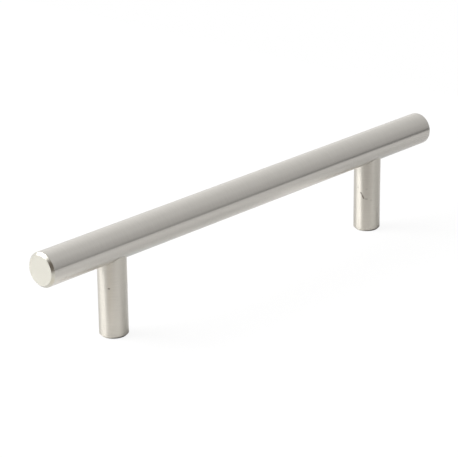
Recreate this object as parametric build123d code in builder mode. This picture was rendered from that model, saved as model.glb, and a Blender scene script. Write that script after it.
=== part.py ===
from build123d import *
import math
import os

# T-bar cabinet pull: one round bar carried on two turned posts. Sizes are in millimetres.
# X runs along the bar and Z points away from the cabinet front. The origin lies on the mounting
# face, midway between the two feet, so the whole pull stands on Z = 0.

# Overall sizes
bar_length = 188.0
hole_spacing = 128.0            # centre to centre of the posts, a standard drilling distance
projection = 35.8               # from the mounting face to the outermost line of the bar

# Bar
bar_diameter = 11.25
bar_chamfer = 0.8               # turned at 45 degrees on each end
bar_outer_softening = 0.3       # radius that brushing leaves where the chamfer meets the bar's side
bar_inner_softening = 0.2       # radius that brushing leaves where the chamfer meets the end face

# Posts
post_diameter = 9.4
foot_chamfer = 0.7
cope_edge_break = 0.05          # small bevel round the coped rim, a fine shadow line under the bar

# Screw hole in each foot, drilled and tapped for a cabinet screw
tap_drill_diameter = 3.3
screw_hole_depth = 14.0         # full bore, without the drill's point
screw_mouth_diameter = 4.2      # countersink that leads the screw in

# Grooved pin that holds each post to the bar: pressed in, half in either piece
pin_diameter = 4.0
pin_length = 12.0
pin_chamfer = 0.4
pin_groove_count = 3
pin_groove_depth = 0.35
pin_end_clearance = 0.5         # left between each end of the pin and the bottom of its hole

drill_point_angle = 118.0

# Sizes that follow from the ones above
bar_radius = bar_diameter / 2
post_radius = post_diameter / 2
bar_axis_height = projection - bar_radius
saddle_height = bar_axis_height - bar_radius
post_positions = {"left": -hole_spacing / 2, "right": hole_spacing / 2}
screw_mouth_chamfer = (screw_mouth_diameter - tap_drill_diameter) / 2
pin_radius = pin_diameter / 2
pin_bottom = saddle_height - pin_length / 2
pin_top = saddle_height + pin_length / 2
groove_side = pin_groove_depth * math.sqrt(2)


def drilled_hole(x, diameter, mouth_height, bore_end_height):
    """The space of a blind hole along Z: a round bore from its mouth to its end, and the drill's point."""
    radius = diameter / 2
    point_length = radius / math.tan(math.radians(drill_point_angle / 2))
    drilled_upward = bore_end_height > mouth_height
    tip_height = bore_end_height + (point_length if drilled_upward else -point_length)
    with BuildPart() as hole:
        with BuildSketch(Plane(origin=(x, 0, 0), x_dir=(1, 0, 0), z_dir=(0, -1, 0))):
            with BuildLine():
                Polyline(
                    (0, mouth_height),
                    (radius, mouth_height),
                    (radius, bore_end_height),
                    (0, tip_height),
                    close=True,
                )
            make_face()
        revolve(axis=Axis((x, 0, 0), (0, 0, 1)))
    return hole.part


def bar_rod():
    """A plain rod of the bar's full length, on the bar's axis."""
    with BuildPart() as rod:
        with BuildSketch(Plane.YZ.offset(-bar_length / 2)):
            with Locations((0, bar_axis_height)):
                Circle(bar_radius)
        extrude(amount=bar_length)
    return rod.part


os.makedirs("parts", exist_ok=True)
plain_rod = bar_rod()

# Bar: a solid rod with softened end chamfers and one blind pin hole above each post
bar_pin_holes = [
    drilled_hole(post_x, pin_diameter, saddle_height, pin_top + pin_end_clearance)
    for post_x in post_positions.values()
]
with BuildPart() as bar:
    add(plain_rod)
    chamfer(bar.edges().filter_by(GeomType.CIRCLE), bar_chamfer)
    outer_rims = bar.edges().filter_by(GeomType.CIRCLE).group_by(SortBy.RADIUS)[-1]
    fillet(outer_rims, bar_outer_softening)
    end_face_rims = bar.faces().filter_by(GeomType.PLANE).edges()
    fillet(end_face_rims, bar_inner_softening)
    add(bar_pin_holes, mode=Mode.SUBTRACT)
bar.part.label = "bar"
export_step(bar.part, "parts/bar.step")

# Posts: turned rods, coped at the top to seat around the bar and tapped at the foot
for side, post_x in post_positions.items():
    screw_hole = drilled_hole(post_x, tap_drill_diameter, 0, screw_hole_depth)
    post_pin_hole = drilled_hole(post_x, pin_diameter, bar_axis_height, pin_bottom - pin_end_clearance)
    with BuildPart() as post:
        with BuildSketch():
            with Locations((post_x, 0)):
                Circle(post_radius)
        extrude(amount=bar_axis_height)
        chamfer(post.edges().group_by(Axis.Z)[0], foot_chamfer)
        add(plain_rod, mode=Mode.SUBTRACT)
        coped_rim = post.edges().filter_by(GeomType.BSPLINE)
        chamfer(coped_rim, cope_edge_break)
        add([screw_hole, post_pin_hole], mode=Mode.SUBTRACT)
        screw_mouth = post.edges().group_by(Axis.Z)[0].sort_by(SortBy.RADIUS)[0]
        chamfer(screw_mouth, screw_mouth_chamfer)
    post.part.label = f"{side}_post"
    export_step(post.part, f"parts/{side}_post.step")

# Joint pins: dowels with V grooves along them, whose raised edges bite into both holes
for side, post_x in post_positions.items():
    with BuildPart() as joint_pin:
        with BuildSketch(Plane.XY.offset(pin_bottom)):
            with Locations((post_x, 0)):
                Circle(pin_radius)
        extrude(amount=pin_length)
        chamfer(joint_pin.edges().filter_by(GeomType.CIRCLE), pin_chamfer)
        with BuildSketch(Plane.XY.offset(pin_bottom)):
            with Locations((post_x, 0)):
                with PolarLocations(pin_radius, pin_groove_count):
                    Rectangle(groove_side, groove_side, rotation=45)
        extrude(amount=pin_length, mode=Mode.SUBTRACT)
    joint_pin.part.label = f"{side}_joint_pin"
    export_step(joint_pin.part, f"parts/{side}_joint_pin.step")
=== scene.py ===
import math

import bmesh
import bpy
from mathutils import Matrix, Vector


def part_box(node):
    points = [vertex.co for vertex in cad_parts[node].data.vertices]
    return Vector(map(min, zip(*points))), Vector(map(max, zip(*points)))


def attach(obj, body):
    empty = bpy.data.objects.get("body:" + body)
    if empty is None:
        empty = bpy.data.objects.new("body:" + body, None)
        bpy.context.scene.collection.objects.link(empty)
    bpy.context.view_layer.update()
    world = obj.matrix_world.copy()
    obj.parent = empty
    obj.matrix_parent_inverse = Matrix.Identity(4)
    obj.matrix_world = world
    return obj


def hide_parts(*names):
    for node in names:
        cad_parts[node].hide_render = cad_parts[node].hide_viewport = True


# T-bar cabinet pull in brushed nickel. Metres, X along the bar, Z from the feet up to the bar.

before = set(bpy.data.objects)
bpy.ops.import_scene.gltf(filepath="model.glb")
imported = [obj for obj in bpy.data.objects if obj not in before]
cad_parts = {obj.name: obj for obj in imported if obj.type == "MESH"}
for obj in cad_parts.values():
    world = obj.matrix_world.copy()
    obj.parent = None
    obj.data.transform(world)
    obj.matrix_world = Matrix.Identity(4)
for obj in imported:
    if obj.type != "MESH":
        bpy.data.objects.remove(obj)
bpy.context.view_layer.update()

MM = 0.001
X_AXIS = Vector((1, 0, 0))
Z_AXIS = Vector((0, 0, 1))

# Sizes read from the solids. Their meshes are faceted, so a radius is rounded back to a true size.
bar_low, bar_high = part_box("bar")
bar_half_length = bar_high.x
bar_radius = round(bar_high.y, 6)
bar_axis_height = bar_low.z + bar_radius
bar_underside = bar_axis_height - bar_radius
post_low, post_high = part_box("left_post")
post_radius = round((post_high.x - post_low.x) / 2, 4)
post_centres = {"left": (post_low.x + post_high.x) / 2, "right": -(post_low.x + post_high.x) / 2}
pin_low, pin_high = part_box("left_joint_pin")
pin_radius = round((pin_high.y - pin_low.y) / 2, 4)

# Sizes of the edges and holes
BAR_CHAMFER = 0.8 * MM
BAR_OUTER_SOFTENING = 0.3 * MM
BAR_INNER_SOFTENING = 0.2 * MM
FOOT_CHAMFER = 0.7 * MM
FOOT_SOFTENING = 0.15 * MM
COPE_EDGE_BREAK = 0.05 * MM
COPE_GAP = 0.004 * MM           # keeps a post's seat and the bar's side from being one surface
PIN_END_CLEARANCE = 0.5 * MM
DRILL_HALF_ANGLE = math.radians(59)

# M4 thread in each foot
THREAD_MAJOR_RADIUS = 2.0 * MM
THREAD_MINOR_RADIUS = 1.65 * MM
THREAD_PITCH = 0.7 * MM
THREAD_END = 13.0 * MM
SCREW_HOLE_DEPTH = 14.0 * MM
SCREW_MOUTH_RADIUS = 2.1 * MM

# Fineness of the turned meshes
BAR_SEGMENTS = 192
POST_SEGMENTS = 144
HOLE_SEGMENTS = 72
THREAD_SEGMENTS = 40
CORNER_STEPS = 6
SEAT_RINGS = 7                  # across the top of a post, so that it can follow the bar
HOLD = 0.02 * MM                # a ring this close to a rounded corner keeps the flat beside it flat
PIN_HOLE_MARGIN = 20 * HOLD     # from a pin hole to the bar's ring on either side of it
CUTTER_OVERLAP = 1 * MM         # how far under the bar a pin hole's cutter starts
MERGE_DISTANCE = 1e-7
SHARP_ANGLE = math.radians(35)


# Mesh making

def rounded(points, radii):
    """The outline with each inner corner made an arc of its radius, held by a point either side."""
    out = [points[0]]
    for before, corner, after, radius in zip(points, points[1:], points[2:], radii):
        if radius == 0:
            out.append(corner)
            continue
        corner = Vector(corner)
        to_before = (Vector(before) - corner).normalized()
        to_after = (Vector(after) - corner).normalized()
        half = to_before.angle(to_after) / 2
        reach = radius / math.tan(half)
        centre = corner + (to_before + to_after).normalized() * (radius / math.sin(half))
        start = corner + to_before * reach - centre
        end = corner + to_after * reach - centre
        sweep = start.angle_signed(end)
        out.append(tuple(corner + to_before * (reach + HOLD)))
        for step in range(CORNER_STEPS + 1):
            turn = -sweep * step / CORNER_STEPS
            spoke = Matrix.Rotation(turn, 2) @ start
            out.append(tuple(centre + spoke))
        out.append(tuple(corner + to_after * (reach + HOLD)))
    out.append(points[-1])
    return out


def turned(outline, centre, along, out_from, segments):
    """A bmesh of a solid of revolution. The outline's points are (place along the axis, radius)."""
    bm = bmesh.new()
    verts = [bm.verts.new(centre + along * place + out_from * radius) for place, radius in outline]
    edges = [bm.edges.new(pair) for pair in zip(verts, verts[1:])]
    bmesh.ops.spin(
        bm, geom=verts + edges, cent=centre, axis=along, dvec=(0, 0, 0),
        angle=math.tau, steps=segments, use_merge=True,
    )
    bmesh.ops.remove_doubles(bm, verts=bm.verts, dist=MERGE_DISTANCE)
    bmesh.ops.recalc_face_normals(bm, faces=bm.faces)
    return bm


def piece(name, bm, materials):
    """The bmesh as a finished object that rides on the pull."""
    mesh = bpy.data.meshes.new(name)
    bm.to_mesh(mesh)
    bm.free()
    for polygon in mesh.polygons:
        polygon.use_smooth = True
    mesh.set_sharp_from_angle(angle=SHARP_ANGLE)
    for material in materials:
        mesh.materials.append(material)
    made = bpy.data.objects.new(name, mesh)
    bpy.context.scene.collection.objects.link(made)
    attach(made, "root")
    return made


def drilled(x, radius, mouth_height, end_height):
    """A bmesh of the space of a blind hole along Z, with the drill's point at its end."""
    way = math.copysign(1, end_height - mouth_height)
    point_length = radius / math.tan(DRILL_HALF_ANGLE)
    outline = [
        (mouth_height, 0),
        (mouth_height, radius),
        (end_height, radius),
        (end_height + way * point_length, 0),
    ]
    return turned(outline, Vector((x, 0, 0)), Z_AXIS, X_AXIS, HOLE_SEGMENTS)


# Pieces

def cut_pin_holes(bar):
    """Bores a blind hole up into the bar over each post."""
    cutter_mesh = bpy.data.meshes.new("pin_hole_space")
    cutter_bm = bmesh.new()
    for x in post_centres.values():
        hole = drilled(
            x, pin_radius, bar_underside - CUTTER_OVERLAP, pin_high.z + PIN_END_CLEARANCE
        )
        hole.to_mesh(cutter_mesh)
        hole.free()
        cutter_bm.from_mesh(cutter_mesh)
    cutter_bm.to_mesh(cutter_mesh)
    cutter_bm.free()
    cutter = bpy.data.objects.new("pin_hole_space", cutter_mesh)
    bpy.context.scene.collection.objects.link(cutter)
    cut = bar.modifiers.new("pin_holes", "BOOLEAN")
    cut.operation = "DIFFERENCE"
    cut.solver = "EXACT"
    cut.object = cutter
    depsgraph = bpy.context.evaluated_depsgraph_get()
    finished = bpy.data.meshes.new_from_object(bar.evaluated_get(depsgraph))
    finished.name = "bar_rod"
    bar.modifiers.clear()
    bar.data = finished
    bpy.data.objects.remove(cutter)


def make_bar(side_finish, end_finish):
    """A solid rod with softened chamfers at its ends and a pin hole over each post."""
    end_outline = rounded(
        [
            (bar_half_length, 0),
            (bar_half_length, bar_radius - BAR_CHAMFER),
            (bar_half_length - BAR_CHAMFER, bar_radius),
            (0, bar_radius),
        ],
        [BAR_INNER_SOFTENING, BAR_OUTER_SOFTENING],
    )
    # Rings beside each pin hole, so that its cut leaves the rest of the bar's side as it was
    hole_rings = [
        (post_centres["right"] + pin_radius + PIN_HOLE_MARGIN, bar_radius),
        (post_centres["right"] - pin_radius - PIN_HOLE_MARGIN, bar_radius),
    ]
    half = end_outline[:-1] + hole_rings
    outline = half + [(-place, radius) for place, radius in reversed(half)]
    bm = turned(outline, Vector((0, 0, bar_axis_height)), X_AXIS, Z_AXIS, BAR_SEGMENTS)
    for face in bm.faces:
        on_end = min(abs(v.co.x) for v in face.verts) > bar_half_length - BAR_CHAMFER - HOLD
        face.material_index = 1 if on_end else 0
    bar = piece("bar_rod", bm, [side_finish, end_finish])
    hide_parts("bar")
    cut_pin_holes(bar)


def make_post(side, finish):
    """A turned post: coped to the bar, with a pin hole at the top and a screw hole in the foot."""
    screw_point = THREAD_MAJOR_RADIUS / math.tan(DRILL_HALF_ANGLE)
    pin_hole_end = pin_low.z - PIN_END_CLEARANCE
    pin_point = pin_radius / math.tan(DRILL_HALF_ANGLE)
    top = bar_axis_height
    foot = rounded(
        [
            (SCREW_HOLE_DEPTH, THREAD_MAJOR_RADIUS),
            (SCREW_MOUTH_RADIUS - THREAD_MAJOR_RADIUS, THREAD_MAJOR_RADIUS),
            (0, SCREW_MOUTH_RADIUS),
            (0, post_radius - FOOT_CHAMFER),
            (FOOT_CHAMFER, post_radius),
            (top, post_radius),
        ],
        [0, 0, FOOT_SOFTENING, FOOT_SOFTENING],
    )
    rim_radius = post_radius - COPE_EDGE_BREAK
    seat_rings = [
        (top, rim_radius - (rim_radius - pin_radius) * step / SEAT_RINGS)
        for step in range(SEAT_RINGS + 1)
    ]
    outline = (
        [(SCREW_HOLE_DEPTH + screw_point, 0)]
        + foot[:-1]
        + [(top - COPE_EDGE_BREAK - HOLD, post_radius), (top - COPE_EDGE_BREAK, post_radius)]
        + seat_rings
        + [(pin_hole_end, pin_radius), (pin_hole_end - pin_point, 0)]
    )
    bm = turned(outline, Vector((post_centres[side], 0, 0)), Z_AXIS, X_AXIS, POST_SEGMENTS)
    # The post is turned with a flat top, whose rings then drop on to the bar's round side
    for vert in bm.verts:
        if vert.co.z > bar_underside:
            below_flat_top = top - vert.co.z
            seat = bar_axis_height - math.sqrt(bar_radius**2 - vert.co.y**2) - COPE_GAP
            vert.co.z = seat - below_flat_top
    made = piece(f"{side}_turned_post", bm, [finish])
    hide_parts(f"{side}_post")


def make_thread(side, finish):
    """The ridge of an M4 thread inside a foot's screw hole: P/4 wide at its crest, 7P/8 at its root."""
    x = post_centres[side]
    crest_half = THREAD_PITCH / 8
    root_half = THREAD_PITCH * 7 / 16
    root = THREAD_MAJOR_RADIUS + HOLD
    start = THREAD_PITCH
    turns = (THREAD_END - start) / THREAD_PITCH
    steps = round(turns * THREAD_SEGMENTS)
    bm = bmesh.new()
    profile = [
        (start - root_half, root),
        (start - crest_half, THREAD_MINOR_RADIUS),
        (start + crest_half, THREAD_MINOR_RADIUS),
        (start + root_half, root),
    ]
    verts = [bm.verts.new((x + radius, 0, height)) for height, radius in profile]
    edges = [bm.edges.new((a, b)) for a, b in zip(verts, verts[1:] + verts[:1])]
    bmesh.ops.spin(
        bm, geom=verts + edges, cent=(x, 0, 0), axis=(0, 0, 1),
        dvec=(0, 0, THREAD_PITCH / THREAD_SEGMENTS),
        angle=math.tau * steps / THREAD_SEGMENTS, steps=steps, use_merge=False,
    )
    bmesh.ops.holes_fill(bm, edges=[e for e in bm.edges if e.is_boundary], sides=len(profile))
    bmesh.ops.recalc_face_normals(bm, faces=bm.faces)
    piece(f"{side}_screw_thread", bm, [finish])


# Nodes

def add_node(tree, kind, inputs=None, **settings):
    """A node of that kind. inputs maps a socket's name or number to its source or its plain value."""
    node = tree.nodes.new(kind)
    for name, value in settings.items():
        setattr(node, name, value)
    for name, source in (inputs or {}).items():
        if isinstance(source, bpy.types.NodeSocket):
            tree.links.new(source, node.inputs[name])
        else:
            node.inputs[name].default_value = source
    return node


def maths(tree, operation, first, second, clamp=False):
    """The output of a Math node on sockets or plain numbers."""
    node = add_node(
        tree, "ShaderNodeMath", {0: first, 1: second}, operation=operation, use_clamp=clamp
    )
    return node.outputs[0]


def vector_maths(tree, operation, *terms):
    """The output of a Vector Math node: a number for a product, length or distance, else a vector."""
    node = add_node(tree, "ShaderNodeVectorMath", dict(enumerate(terms)), operation=operation)
    gives_number = operation in ("DOT_PRODUCT", "LENGTH", "DISTANCE")
    return node.outputs["Value" if gives_number else "Vector"]


def remapped(tree, value, from_low, from_high, to_low, to_high, smooth=False):
    """A clamped Map Range of a socket."""
    limits = {
        "From Min": from_low, "From Max": from_high, "To Min": to_low, "To Max": to_high,
    }
    node = add_node(
        tree, "ShaderNodeMapRange", {"Value": value, **limits},
        interpolation_type="SMOOTHSTEP" if smooth else "LINEAR",
    )
    return node.outputs["Result"]


def mix_values(tree, factor, first, second):
    """The first value where the factor is 0 and the second where it is 1."""
    mix = add_node(tree, "ShaderNodeMix", {0: factor, 2: first, 3: second}, data_type="FLOAT")
    return mix.outputs[0]


def mix_colours(tree, factor, first, second, **settings):
    """The first colour where the factor is 0 and the second, or its blend, where it is 1."""
    mix = add_node(
        tree, "ShaderNodeMix", {0: factor, 6: first, 7: second}, data_type="RGBA", **settings
    )
    return mix.outputs[2]


def mix_shaders(tree, factor, first, second):
    """The first shader where the factor is 0 and the second where it is 1."""
    mix = add_node(tree, "ShaderNodeMixShader", {0: factor, 1: first, 2: second})
    return mix.outputs[0]


def new_group(name, inputs, outputs):
    """An empty shader node group. inputs and outputs map names to Float or Vector."""
    group = bpy.data.node_groups.new(name, "ShaderNodeTree")
    for socket, kind in inputs.items():
        group.interface.new_socket(socket, in_out="INPUT", socket_type=f"NodeSocket{kind}")
    for socket, kind in outputs.items():
        group.interface.new_socket(socket, in_out="OUTPUT", socket_type=f"NodeSocket{kind}")
    return group, group.nodes.new("NodeGroupInput"), group.nodes.new("NodeGroupOutput")


# Materials

BLACK = (0, 0, 0, 1)
WHITE = (1, 1, 1, 1)
BAR_NICKEL = (0.605, 0.582, 0.542, 1)
END_NICKEL = (0.595, 0.58, 0.518, 1)
POST_NICKEL = (0.606, 0.578, 0.521, 1)
PIN_STEEL = (0.42, 0.42, 0.43, 1)
MARK_COLOUR = (0.13, 0.11, 0.09, 1)

# The nickel stays rougher than 0.2739, its variation included. Below that, the denoiser guides itself
# by what the metal mirrors, and a finish that crosses the limit comes out mottled.
BRUSHED_ROUGHNESS = 0.283
TURNED_ROUGHNESS = 0.281
THREAD_ROUGHNESS = 0.3
PIN_ROUGHNESS = 0.35

# The brushing: coordinates stretched across the strokes, then what their noise does to the metal
ACROSS_BAR = (7000, 200, 200)
ACROSS_POST = (200, 200, 7000)
ACROSS_RINGS = (7000, 0, 0)
FINE_STROKES = {"Scale": 1.0, "Detail": 3.0, "Roughness": 0.6}
SLOW_STROKES = {"Scale": 1.0, "Detail": 2.0, "Roughness": 0.5}
SLOW_STRETCH = (0.06, 0.06, 0.06)
NOISE_RANGE = (0.3, 0.7)        # where nearly all of a noise lies
TONE_RANGE = (0.955, 1.045)     # times the colour
POLISH_RANGE = (0.975, 1.025)   # times the roughness
BUMP_STRENGTH = 0.15
BUMP_DEPTH = 0.01 * MM
STROKE_ANISOTROPY = 0.95
STROKE_ROTATION = 0.25          # a quarter turn: the highlight spreads across the strokes

MARK_EDGE = (0.5, 1.5)          # a mark fades out over these shares of its half width

# Marks on the posts: angle and height in mm of either end, half width in mm, and depth. An angle is
# measured from the front, -Y, and grows towards +X.
POST_MARKS = {
    "left": [
        (-60.2, 17.06, -57.1, 17.07, 0.26, 0.62),
    ],
    "right": [
        (-79.2, 14.51, -76.3, 14.32, 0.26, 0.78),
        (-73.4, 13.91, -69.7, 13.27, 0.22, 0.70),
        (-69.7, 13.27, -66.0, 12.60, 0.25, 0.82),
        (-59.4, 12.34, -50.7, 12.32, 0.20, 0.40),
        (-96.1, 16.24, -92.6, 16.31, 0.30, 0.20),
        (-54.7, 15.98, -52.2, 15.99, 0.30, 0.14),
        (-34.9, 11.82, -32.2, 11.79, 0.30, 0.14),
    ],
}


def make_brushing_group():
    """Fine strokes of an abrasive belt, on coordinates that are stretched across the strokes."""
    group, given, result = new_group(
        "belt_brushing", {"Coordinates": "Vector", "Strength": "Float"},
        {"Height": "Float", "Tone": "Float", "Polish": "Float"},
    )
    place = given.outputs["Coordinates"]
    slow_place = vector_maths(group, "MULTIPLY", place, SLOW_STRETCH)
    fine = add_node(group, "ShaderNodeTexNoise", {"Vector": place, **FINE_STROKES}).outputs["Fac"]
    slow = add_node(
        group, "ShaderNodeTexNoise", {"Vector": slow_place, **SLOW_STROKES}
    ).outputs["Fac"]
    height = maths(group, "MULTIPLY", fine, given.outputs["Strength"])
    group.links.new(height, result.inputs["Height"])
    group.links.new(fine, result.inputs["Tone"])
    group.links.new(slow, result.inputs["Polish"])
    return group


def make_mark_group():
    """A short straight mark between two points: its depth inside its width and 0 outside."""
    group, given, result = new_group(
        "fine_mark", {"Start": "Vector", "End": "Vector", "Half Width": "Float", "Depth": "Float"},
        {"Mask": "Float"},
    )
    start = given.outputs["Start"]
    place = add_node(group, "ShaderNodeTexCoord").outputs["Object"]
    from_start = vector_maths(group, "SUBTRACT", place, start)
    run = vector_maths(group, "SUBTRACT", given.outputs["End"], start)
    along = vector_maths(group, "DOT_PRODUCT", from_start, run)
    run_squared = vector_maths(group, "DOT_PRODUCT", run, run)
    share = maths(group, "DIVIDE", along, run_squared, clamp=True)
    nearest = add_node(
        group, "ShaderNodeVectorMath", {0: run, "Scale": share}, operation="SCALE"
    ).outputs["Vector"]
    distance = vector_maths(group, "DISTANCE", from_start, nearest)
    half_widths = maths(group, "DIVIDE", distance, given.outputs["Half Width"])
    inside = remapped(group, half_widths, *MARK_EDGE, 1, 0, smooth=True)
    mask = maths(group, "MULTIPLY", inside, given.outputs["Depth"])
    group.links.new(mask, result.inputs["Mask"])
    return group


def brushed_metal(
    name, colour, stretch, strength, roughness, tangent_axis=None, marks=(), rings_about=None
):
    """Brushed metal. stretch scales the coordinates, so that the strokes run where it is smallest.

    rings_about is a point on an axis along X. The strokes are then rings round that axis.
    """
    material = bpy.data.materials.new(name)
    material.use_nodes = True
    tree = material.node_tree
    place = add_node(tree, "ShaderNodeTexCoord").outputs["Object"]
    if rings_about is not None:
        from_axis = vector_maths(tree, "SUBTRACT", place, rings_about)
        across = vector_maths(tree, "MULTIPLY", from_axis, (0.0, 1.0, 1.0))
        radius = vector_maths(tree, "LENGTH", across)
        place = add_node(tree, "ShaderNodeCombineXYZ", {0: radius}).outputs[0]
    brushing = add_node(
        tree, "ShaderNodeGroup",
        {"Coordinates": vector_maths(tree, "MULTIPLY", place, stretch), "Strength": strength},
        node_tree=brushing_group,
    ).outputs
    tone = remapped(tree, brushing["Tone"], *NOISE_RANGE, *TONE_RANGE)
    smoothest, roughest = (roughness * share for share in POLISH_RANGE)
    polish = remapped(tree, brushing["Polish"], *NOISE_RANGE, smoothest, roughest)
    base = mix_colours(tree, tone, BLACK, colour, clamp_factor=False)
    height = brushing["Height"]
    for start, end, half_width, depth in marks:
        mark = add_node(
            tree, "ShaderNodeGroup",
            {"Start": start, "End": end, "Half Width": half_width, "Depth": depth},
            node_tree=mark_group,
        ).outputs["Mask"]
        base = mix_colours(tree, mark, base, MARK_COLOUR)
        height = maths(tree, "SUBTRACT", height, mark)
    bump = add_node(
        tree, "ShaderNodeBump",
        {"Height": height, "Strength": BUMP_STRENGTH, "Distance": BUMP_DEPTH},
    )
    shader = tree.nodes["Principled BSDF"]
    shader.inputs["Metallic"].default_value = 1.0
    tree.links.new(base, shader.inputs["Base Color"])
    tree.links.new(polish, shader.inputs["Roughness"])
    tree.links.new(bump.outputs[0], shader.inputs["Normal"])
    if tangent_axis:
        shader.inputs["Anisotropic"].default_value = STROKE_ANISOTROPY
        shader.inputs["Anisotropic Rotation"].default_value = STROKE_ROTATION
        tangent = add_node(tree, "ShaderNodeTangent", direction_type="RADIAL", axis=tangent_axis)
        tree.links.new(tangent.outputs[0], shader.inputs["Tangent"])
    return material


def on_post(side, around_degrees, height):
    """The point on a post's side at an angle and a height."""
    around = math.radians(around_degrees)
    return Vector((
        post_centres[side] + post_radius * math.sin(around),
        -post_radius * math.cos(around),
        height,
    ))


def marks_on(side):
    """A post's marks, each as its two ends, half width and depth."""
    return [
        (on_post(side, start, low * MM), on_post(side, end, high * MM), half_width * MM, depth)
        for start, low, end, high, half_width, depth in POST_MARKS[side]
    ]


brushing_group = make_brushing_group()
mark_group = make_mark_group()

bar_finish = brushed_metal(
    "nickel_brushed_round_the_bar", BAR_NICKEL, ACROSS_BAR, strength=1.0,
    roughness=BRUSHED_ROUGHNESS, tangent_axis="X",
)
end_finish = brushed_metal(
    "nickel_turned_end", END_NICKEL, ACROSS_RINGS, strength=0.7,
    roughness=TURNED_ROUGHNESS, rings_about=(0.0, 0.0, bar_axis_height),
)
post_finishes = {
    side: brushed_metal(
        f"nickel_{side}_post", POST_NICKEL, ACROSS_POST, strength=1.0,
        roughness=BRUSHED_ROUGHNESS, tangent_axis="Z", marks=marks_on(side),
    )
    for side in post_centres
}
thread_finish = brushed_metal(
    "nickel_in_the_thread", POST_NICKEL, ACROSS_POST, strength=0.4, roughness=THREAD_ROUGHNESS,
)
pin_finish = brushed_metal(
    "ground_steel_pin", PIN_STEEL, ACROSS_POST, strength=0.6, roughness=PIN_ROUGHNESS,
)

make_bar(bar_finish, end_finish)
for side in post_centres:
    make_post(side, post_finishes[side])
    make_thread(side, thread_finish)
    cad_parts[f"{side}_joint_pin"].data.materials[0] = pin_finish


# Studio: a pale table in a white tent, under a softbox

# The tent's levels by height, as (sine of the elevation, level)
FRONT_LEVELS = [
    (0.0, 0.36), (0.03, 0.54), (0.06, 0.57), (0.26, 0.61), (0.44, 0.65),
    (0.59, 0.73), (0.72, 0.85), (0.85, 0.75), (1.0, 0.60),
]
BACK_LEVELS = [
    (0.0, 1.12), (0.17, 1.06), (0.36, 0.80), (0.52, 0.77), (0.72, 1.02), (0.85, 0.85), (1.0, 0.60),
]
UNDER_HORIZON_LEVEL = 0.26
HORIZON_BLEND = 0.02

# The front turns into the back as a direction's Y goes from the first value to the second
FRONT_TO_BACK = (-0.35, 0.2)

# The tent's dim side, towards the camera: whole within the first angle in degrees, gone past the second
CAMERA_SIDE = (-0.765, -0.597, 0.242)
CAMERA_SIDE_REACH = (20, 48)
CAMERA_SIDE_COLOUR = (0.17, 0.14, 0.12, 1)

TABLE_RADIUS = 4.0
TABLE_SEGMENTS = 64
TABLE_HALF_WIDTH = 0.22
TABLE_DROP = 0.02 * MM
TABLE_GREY = 0.72
TABLE_COAT_ROUGHNESS = 0.33
TABLE_COAT_IOR = 1.26

# What the camera sees of the table: a glow of its own, and a share of the light, which keeps the shadow
TABLE_GLOW = 0.88
TABLE_LIT_SHARE = 0.12

# Painted light and shade on the table, which the nickel mirrors: place from the post, inner and outer
# reach in mm, tint
# Painted pools of light thrown by the posts, painted cooler and warmer light, and a painted shadow
# round each foot
THROWN_LIGHT = ((-10, -18), 0, 34, (1.47, 1.47, 1.47, 1))
THROWN_LIGHT_LEFT = ((-30, 6), 0, 34, (1.2, 1.2, 1.2, 1))
PAINTED_COOL_LIGHT = ((26, 12), 8, 28, (0.955, 1.0, 1.02, 1))
PAINTED_WARM_LIGHT = ((-41, -18), 4, 24, (1.0, 0.95, 0.86, 1))
FOOT_SHADE = ((1.3, -1.4), 4.2, 5.6, (0.25, 0.25, 0.25, 1))
PAINTED_TABLE_LIGHT_AND_SHADE = {
    "left": (THROWN_LIGHT, PAINTED_COOL_LIGHT, PAINTED_WARM_LIGHT, FOOT_SHADE),
    "right": (THROWN_LIGHT, THROWN_LIGHT_LEFT, PAINTED_COOL_LIGHT, FOOT_SHADE),
}

# Painted shade on the table's coat, which is duller round a foot: inner and outer reach from the post's
# axis, and level there
COAT_SHADE_REACH = (5 * MM, 60 * MM)
COAT_SHADE_LEVEL = 0.5

SOFTBOX_SIDE = (-0.609, 0.548, 0.574)
SOFTBOX_DISTANCE = 1.0
SOFTBOX_SIZE = (0.88, 0.62)
SOFTBOX_LEVEL = 6.5

CAMERA_ANGLES = (-47.974, 20.029, -0.657)           # azimuth, elevation and roll in degrees
CAMERA_TARGET = Vector((-9.510, 0, 19.852)) * MM
CAMERA_DISTANCE = 670.92 * MM
CAMERA_LENS = 160.02
CAMERA_SENSOR = 36.0
CAMERA_CLIP_START = 0.01


def seen_directly(tree):
    """1 for what the camera sees, also through clear things, and 0 for what is mirrored or lights."""
    path = add_node(tree, "ShaderNodeLightPath").outputs
    return maths(tree, "MAXIMUM", path["Is Camera Ray"], path["Is Transmission Ray"])


def direction_mask(tree, direction, towards, inner_degrees, outer_degrees):
    """1 within the inner angle of a direction, 0 beyond the outer one."""
    facing = vector_maths(tree, "DOT_PRODUCT", direction, Vector(towards).normalized())
    inner = math.cos(math.radians(inner_degrees))
    outer = math.cos(math.radians(outer_degrees))
    return remapped(tree, facing, outer, inner, 0, 1, smooth=True)


def level_ramp(tree, value, levels):
    """A colour ramp of plain grey levels at their places from 0 to 1."""
    node = add_node(tree, "ShaderNodeValToRGB", {0: value})
    ramp = node.color_ramp
    while len(ramp.elements) < len(levels):
        ramp.elements.new(0.5)
    for element, (place, level) in zip(ramp.elements, levels):
        element.position = place
        element.color = (level, level, level, 1)
    return node.outputs["Color"]


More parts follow.
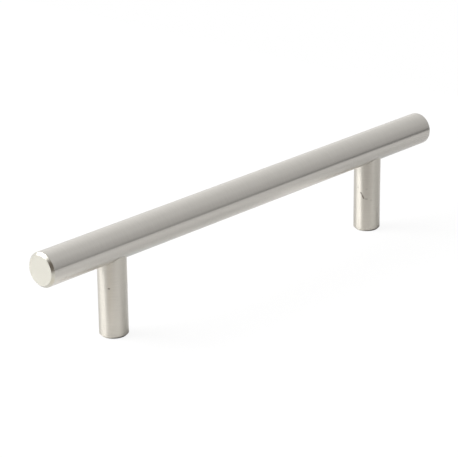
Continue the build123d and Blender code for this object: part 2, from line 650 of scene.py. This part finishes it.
def make_world():
    """A white tent: dimmer at the front, bright at the back, and dark towards the camera."""
    world = bpy.data.worlds.new("white_tent")
    bpy.context.scene.world = world
    world.use_nodes = True
    tree = world.node_tree
    direction = add_node(tree, "ShaderNodeTexCoord").outputs["Generated"]
    parts = add_node(tree, "ShaderNodeSeparateXYZ", {0: direction}).outputs
    front = level_ramp(tree, parts["Z"], FRONT_LEVELS)
    back = level_ramp(tree, parts["Z"], BACK_LEVELS)
    to_back = remapped(tree, parts["Y"], *FRONT_TO_BACK, 0, 1, smooth=True)
    under_horizon = remapped(tree, parts["Z"], -HORIZON_BLEND, HORIZON_BLEND, 1, 0)
    to_camera = direction_mask(tree, direction, CAMERA_SIDE, *CAMERA_SIDE_REACH)
    tent = mix_values(tree, to_back, front, back)
    tent = mix_values(tree, under_horizon, tent, UNDER_HORIZON_LEVEL)
    tent = mix_colours(tree, to_camera, tent, CAMERA_SIDE_COLOUR)
    shown = mix_colours(tree, seen_directly(tree), tent, WHITE)
    background = tree.nodes["Background"]
    tree.links.new(shown, background.inputs["Color"])
    background.inputs["Strength"].default_value = 1.0


def make_table_finish():
    """White with the pull's shadow where it is seen, a tinted glossy table with painted pools of light
    and painted shade round the posts where it is mirrored.

    It is clear from below and right under each foot.
    """
    material = bpy.data.materials.new("white_table")
    material.use_nodes = True
    tree = material.node_tree
    tree.nodes.remove(tree.nodes["Principled BSDF"])
    place = add_node(tree, "ShaderNodeTexCoord").outputs["Object"]
    tinted = (TABLE_GREY, TABLE_GREY, TABLE_GREY, 1)
    clear_share = add_node(tree, "ShaderNodeNewGeometry").outputs["Backfacing"]
    coat_level = 1.0
    for side, patches in PAINTED_TABLE_LIGHT_AND_SHADE.items():
        post_x = post_centres[side]
        from_axis = vector_maths(tree, "DISTANCE", place, (post_x, 0, 0))
        under_foot = maths(tree, "LESS_THAN", from_axis, post_radius - FOOT_CHAMFER)
        clear_share = maths(tree, "MAXIMUM", clear_share, under_foot)
        # Painted shade: the coat mirrors less of the light near a foot
        painted_coat_shade = remapped(tree, from_axis, *COAT_SHADE_REACH, COAT_SHADE_LEVEL, 1)
        coat_level = maths(tree, "MULTIPLY", painted_coat_shade, coat_level)
        # Painted light and shade: each patch multiplies the table's colour round a post
        for (x, y), inner, outer, tint in patches:
            distance = vector_maths(tree, "DISTANCE", place, (post_x + x * MM, y * MM, 0))
            share = remapped(tree, distance, inner * MM, outer * MM, 1, 0, smooth=True)
            tinted = mix_colours(tree, share, tinted, tint, blend_type="MULTIPLY")
    matt = add_node(tree, "ShaderNodeBsdfDiffuse", {"Color": tinted}).outputs[0]
    coat = add_node(
        tree, "ShaderNodeBsdfAnisotropic", {"Color": coat_level, "Roughness": TABLE_COAT_ROUGHNESS}
    ).outputs[0]
    coat_share = add_node(tree, "ShaderNodeFresnel", {"IOR": TABLE_COAT_IOR}).outputs[0]
    glossy = mix_shaders(tree, coat_share, matt, coat)
    by_gloss = add_node(tree, "ShaderNodeLightPath").outputs["Is Glossy Ray"]
    unseen = mix_shaders(tree, by_gloss, matt, glossy)
    lit = add_node(
        tree, "ShaderNodeBsdfDiffuse", {"Color": (TABLE_LIT_SHARE, TABLE_LIT_SHARE, TABLE_LIT_SHARE, 1)}
    ).outputs[0]
    glow = add_node(tree, "ShaderNodeEmission", {"Strength": TABLE_GLOW}).outputs[0]
    seen = add_node(tree, "ShaderNodeAddShader", {0: lit, 1: glow}).outputs[0]
    upper = mix_shaders(tree, seen_directly(tree), unseen, seen)
    clear = add_node(tree, "ShaderNodeBsdfTransparent").outputs[0]
    final = mix_shaders(tree, clear_share, upper, clear)
    tree.links.new(final, tree.nodes["Material Output"].inputs["Surface"])
    return material


def make_table():
    """A round table under the pull, cut straight at both sides."""
    bm = bmesh.new()
    bmesh.ops.create_circle(bm, cap_ends=True, segments=TABLE_SEGMENTS, radius=TABLE_RADIUS)
    for way in (-1, 1):
        bmesh.ops.bisect_plane(
            bm, geom=bm.verts[:] + bm.edges[:] + bm.faces[:],
            plane_co=(way * TABLE_HALF_WIDTH, 0, 0), plane_no=(way, 0, 0), clear_outer=True,
        )
    bmesh.ops.translate(bm, verts=bm.verts, vec=(0, 0, -TABLE_DROP))
    mesh = bpy.data.meshes.new("table")
    bm.to_mesh(mesh)
    bm.free()
    mesh.materials.append(make_table_finish())
    table = bpy.data.objects.new("table", mesh)
    bpy.context.scene.collection.objects.link(table)


def make_softbox():
    """The main light: a large softbox behind the pull, to its left."""
    width, height = SOFTBOX_SIZE
    lamp = bpy.data.lights.new("softbox", "AREA")
    lamp.shape = "RECTANGLE"
    lamp.size = width
    lamp.size_y = height
    lamp.energy = SOFTBOX_LEVEL * math.pi * width * height
    holder = bpy.data.objects.new("softbox", lamp)
    bpy.context.scene.collection.objects.link(holder)
    towards = Vector(SOFTBOX_SIDE).normalized()
    holder.location = towards * SOFTBOX_DISTANCE
    holder.rotation_mode = "QUATERNION"
    holder.rotation_quaternion = towards.to_track_quat("Z", "Y")


def make_camera():
    """The photograph's view: a long lens from the front left, a little above."""
    azimuth, elevation, roll = (math.radians(angle) for angle in CAMERA_ANGLES)
    back = Vector((
        math.sin(azimuth) * math.cos(elevation),
        -math.cos(azimuth) * math.cos(elevation),
        math.sin(elevation),
    ))
    right = Z_AXIS.cross(back).normalized()
    up = back.cross(right)
    turned_right = math.cos(roll) * right + math.sin(roll) * up
    turned_up = math.cos(roll) * up - math.sin(roll) * right
    data = bpy.data.cameras.new("camera")
    data.lens = CAMERA_LENS
    data.sensor_width = CAMERA_SENSOR
    data.clip_start = CAMERA_CLIP_START
    camera = bpy.data.objects.new("camera", data)
    bpy.context.scene.collection.objects.link(camera)
    pose = Matrix((turned_right, turned_up, back)).transposed().to_4x4()
    pose.translation = CAMERA_TARGET + back * CAMERA_DISTANCE
    camera.matrix_world = pose
    bpy.context.scene.camera = camera


make_world()
make_table()
make_softbox()
make_camera()
bpy.context.scene.view_settings.view_transform = "Standard"
